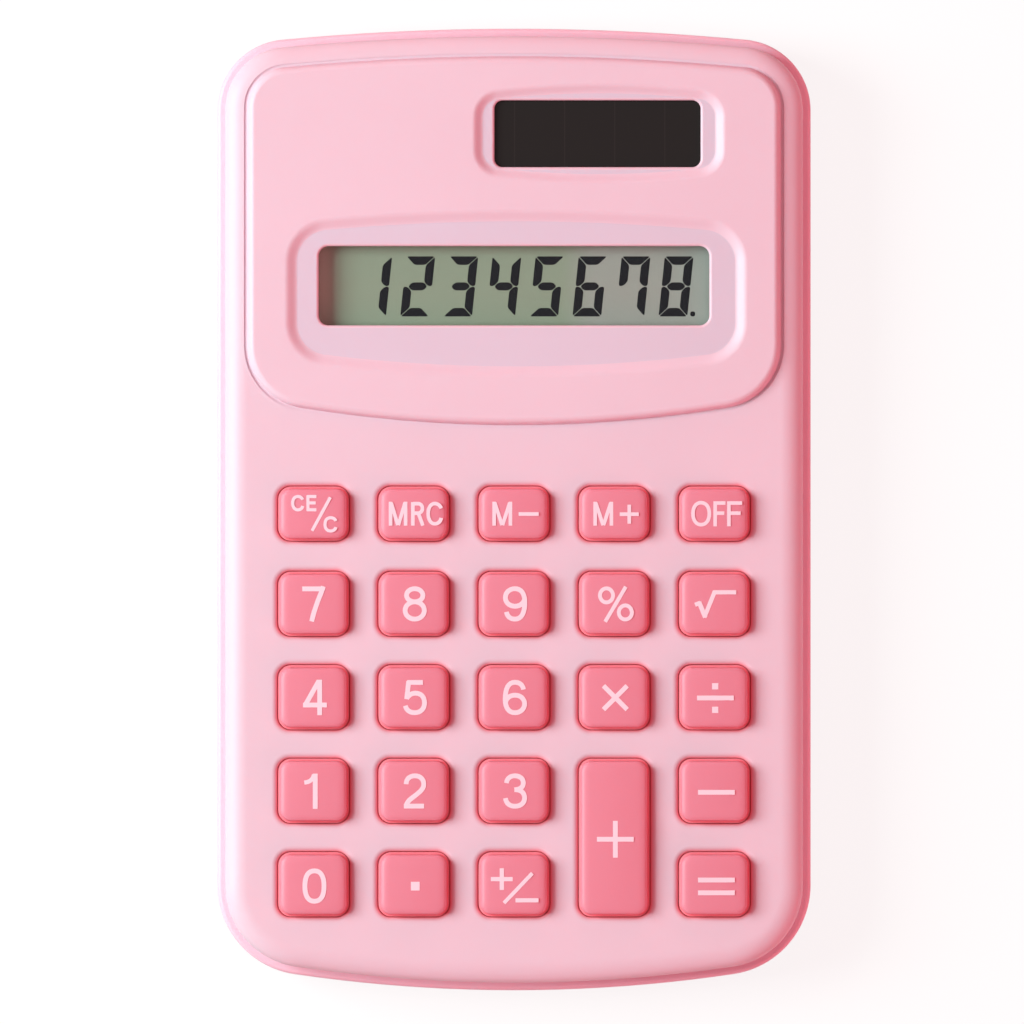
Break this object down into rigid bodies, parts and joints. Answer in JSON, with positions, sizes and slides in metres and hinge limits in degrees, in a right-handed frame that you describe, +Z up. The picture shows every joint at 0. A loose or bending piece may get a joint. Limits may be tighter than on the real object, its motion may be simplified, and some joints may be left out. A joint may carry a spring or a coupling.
{
  "type": "pocket calculator",
  "caption": "Slim solar and button-cell calculator with a raised display panel and sprung rectangular keys, in two pink shells.",
  "frame": {"origin": "on the plane the feet rest on, under the middle of the case", "axes": "+X to the right of the keypad, +Y towards the display end, +Z up out of the keys"},
  "size_m": [0.0712, 0.1154, 0.0126],
  "materials": {
    "upper_shell": "fine satin",
    "lower_shell": "fine satin",
    "key_plastic": "satin",
    "clear_plastic": "clear",
    "display_film": "satin",
    "display_glass": "clear",
    "foam": "open cell",
    "silicone_grey": "striped",
    "silicone_white": "translucent",
    "solar_glass": "polished",
    "wire_red": "smooth",
    "wire_black": "smooth",
    "board_laminate": "solder mask",
    "carbon_ink": "printed",
    "epoxy": "cast",
    "capacitor_sleeve": "sleeved",
    "resistor_coat": "lacquered",
    "nickel_steel": "nickel plated",
    "screw_steel": "zinc plated",
    "foot_rubber": "matt"
  },
  "bodies": {
    "case": {"upper_case": "upper_shell", "lower_case": "lower_shell", "display_lens": "clear_plastic", "lcd_polariser": "display_film", "lcd_front_glass": "display_glass", "lcd_rear_glass": "display_glass", "lcd_reflector": "display_film", "lcd_foam_strip": "foam", "zebra_strip": "silicone_grey", "solar_cell": "solar_glass", "solar_wire_red": "wire_red", "solar_wire_black": "wire_black", "circuit_board": "board_laminate", "key_contacts": "carbon_ink", "chip_blob": "epoxy", "capacitor": "capacitor_sleeve", "resistor": "resistor_coat", "dome_mat": "silicone_white", "battery_cell": "nickel_steel", "battery_contact_positive": "nickel_steel", "battery_contact_negative": "nickel_steel", "battery_wire_red": "wire_red", "battery_wire_black": "wire_black", "case_screws": "screw_steel", "board_screws": "screw_steel", "rubber_feet": "foot_rubber"},
    "battery_door": {"battery_door": "lower_shell"},
    "key_ce_c": {"key_ce_c": "key_plastic"},
    "key_mrc": {"key_mrc": "key_plastic"},
    "key_m_minus": {"key_m_minus": "key_plastic"},
    "key_m_plus": {"key_m_plus": "key_plastic"},
    "key_off": {"key_off": "key_plastic"},
    "key_7": {"key_7": "key_plastic"},
    "key_8": {"key_8": "key_plastic"},
    "key_9": {"key_9": "key_plastic"},
    "key_percent": {"key_percent": "key_plastic"},
    "key_root": {"key_root": "key_plastic"},
    "key_4": {"key_4": "key_plastic"},
    "key_5": {"key_5": "key_plastic"},
    "key_6": {"key_6": "key_plastic"},
    "key_multiply": {"key_multiply": "key_plastic"},
    "key_divide": {"key_divide": "key_plastic"},
    "key_1": {"key_1": "key_plastic"},
    "key_2": {"key_2": "key_plastic"},
    "key_3": {"key_3": "key_plastic"},
    "key_plus": {"key_plus": "key_plastic"},
    "key_minus": {"key_minus": "key_plastic"},
    "key_0": {"key_0": "key_plastic"},
    "key_point": {"key_point": "key_plastic"},
    "key_sign": {"key_sign": "key_plastic"},
    "key_equals": {"key_equals": "key_plastic"}
  },
  "joints": [
    {"name": "key_ce_c_press", "type": "slide", "parent": "case", "child": "key_ce_c", "axis": [0, 0, -1], "range_m": [0, 0.001], "stiffness_N_per_m": 500, "springref_m": -0.0003, "deforming": ["dome_mat"]},
    {"name": "key_mrc_press", "type": "slide", "parent": "case", "child": "key_mrc", "axis": [0, 0, -1], "range_m": [0, 0.001], "stiffness_N_per_m": 500, "springref_m": -0.0003, "deforming": ["dome_mat"]},
    {"name": "key_m_minus_press", "type": "slide", "parent": "case", "child": "key_m_minus", "axis": [0, 0, -1], "range_m": [0, 0.001], "stiffness_N_per_m": 500, "springref_m": -0.0003, "deforming": ["dome_mat"]},
    {"name": "key_m_plus_press", "type": "slide", "parent": "case", "child": "key_m_plus", "axis": [0, 0, -1], "range_m": [0, 0.001], "stiffness_N_per_m": 500, "springref_m": -0.0003, "deforming": ["dome_mat"]},
    {"name": "key_off_press", "type": "slide", "parent": "case", "child": "key_off", "axis": [0, 0, -1], "range_m": [0, 0.001], "stiffness_N_per_m": 500, "springref_m": -0.0003, "deforming": ["dome_mat"]},
    {"name": "key_7_press", "type": "slide", "parent": "case", "child": "key_7", "axis": [0, 0, -1], "range_m": [0, 0.001], "stiffness_N_per_m": 500, "springref_m": -0.0003, "deforming": ["dome_mat"]},
    {"name": "key_8_press", "type": "slide", "parent": "case", "child": "key_8", "axis": [0, 0, -1], "range_m": [0, 0.001], "stiffness_N_per_m": 500, "springref_m": -0.0003, "deforming": ["dome_mat"]},
    {"name": "key_9_press", "type": "slide", "parent": "case", "child": "key_9", "axis": [0, 0, -1], "range_m": [0, 0.001], "stiffness_N_per_m": 500, "springref_m": -0.0003, "deforming": ["dome_mat"]},
    {"name": "key_percent_press", "type": "slide", "parent": "case", "child": "key_percent", "axis": [0, 0, -1], "range_m": [0, 0.001], "stiffness_N_per_m": 500, "springref_m": -0.0003, "deforming": ["dome_mat"]},
    {"name": "key_root_press", "type": "slide", "parent": "case", "child": "key_root", "axis": [0, 0, -1], "range_m": [0, 0.001], "stiffness_N_per_m": 500, "springref_m": -0.0003, "deforming": ["dome_mat"]},
    {"name": "key_4_press", "type": "slide", "parent": "case", "child": "key_4", "axis": [0, 0, -1], "range_m": [0, 0.001], "stiffness_N_per_m": 500, "springref_m": -0.0003, "deforming": ["dome_mat"]},
    {"name": "key_5_press", "type": "slide", "parent": "case", "child": "key_5", "axis": [0, 0, -1], "range_m": [0, 0.001], "stiffness_N_per_m": 500, "springref_m": -0.0003, "deforming": ["dome_mat"]},
    {"name": "key_6_press", "type": "slide", "parent": "case", "child": "key_6", "axis": [0, 0, -1], "range_m": [0, 0.001], "stiffness_N_per_m": 500, "springref_m": -0.0003, "deforming": ["dome_mat"]},
    {"name": "key_multiply_press", "type": "slide", "parent": "case", "child": "key_multiply", "axis": [0, 0, -1], "range_m": [0, 0.001], "stiffness_N_per_m": 500, "springref_m": -0.0003, "deforming": ["dome_mat"]},
    {"name": "key_divide_press", "type": "slide", "parent": "case", "child": "key_divide", "axis": [0, 0, -1], "range_m": [0, 0.001], "stiffness_N_per_m": 500, "springref_m": -0.0003, "deforming": ["dome_mat"]},
    {"name": "key_1_press", "type": "slide", "parent": "case", "child": "key_1", "axis": [0, 0, -1], "range_m": [0, 0.001], "stiffness_N_per_m": 500, "springref_m": -0.0003, "deforming": ["dome_mat"]},
    {"name": "key_2_press", "type": "slide", "parent": "case", "child": "key_2", "axis": [0, 0, -1], "range_m": [0, 0.001], "stiffness_N_per_m": 500, "springref_m": -0.0003, "deforming": ["dome_mat"]},
    {"name": "key_3_press", "type": "slide", "parent": "case", "child": "key_3", "axis": [0, 0, -1], "range_m": [0, 0.001], "stiffness_N_per_m": 500, "springref_m": -0.0003, "deforming": ["dome_mat"]},
    {"name": "key_plus_press", "type": "slide", "parent": "case", "child": "key_plus", "axis": [0, 0, -1], "range_m": [0, 0.001], "stiffness_N_per_m": 500, "springref_m": -0.0003, "deforming": ["dome_mat"]},
    {"name": "key_minus_press", "type": "slide", "parent": "case", "child": "key_minus", "axis": [0, 0, -1], "range_m": [0, 0.001], "stiffness_N_per_m": 500, "springref_m": -0.0003, "deforming": ["dome_mat"]},
    {"name": "key_0_press", "type": "slide", "parent": "case", "child": "key_0", "axis": [0, 0, -1], "range_m": [0, 0.001], "stiffness_N_per_m": 500, "springref_m": -0.0003, "deforming": ["dome_mat"]},
    {"name": "key_point_press", "type": "slide", "parent": "case", "child": "key_point", "axis": [0, 0, -1], "range_m": [0, 0.001], "stiffness_N_per_m": 500, "springref_m": -0.0003, "deforming": ["dome_mat"]},
    {"name": "key_sign_press", "type": "slide", "parent": "case", "child": "key_sign", "axis": [0, 0, -1], "range_m": [0, 0.001], "stiffness_N_per_m": 500, "springref_m": -0.0003, "deforming": ["dome_mat"]},
    {"name": "key_equals_press", "type": "slide", "parent": "case", "child": "key_equals", "axis": [0, 0, -1], "range_m": [0, 0.001], "stiffness_N_per_m": 500, "springref_m": -0.0003, "deforming": ["dome_mat"]},
    {"name": "battery_door_turn", "type": "hinge", "parent": "case", "child": "battery_door", "pos_m": [-0.017, 0.0446, 0.0006], "axis": [0, 0, -1], "range_deg": [0, 45]}
  ]
}
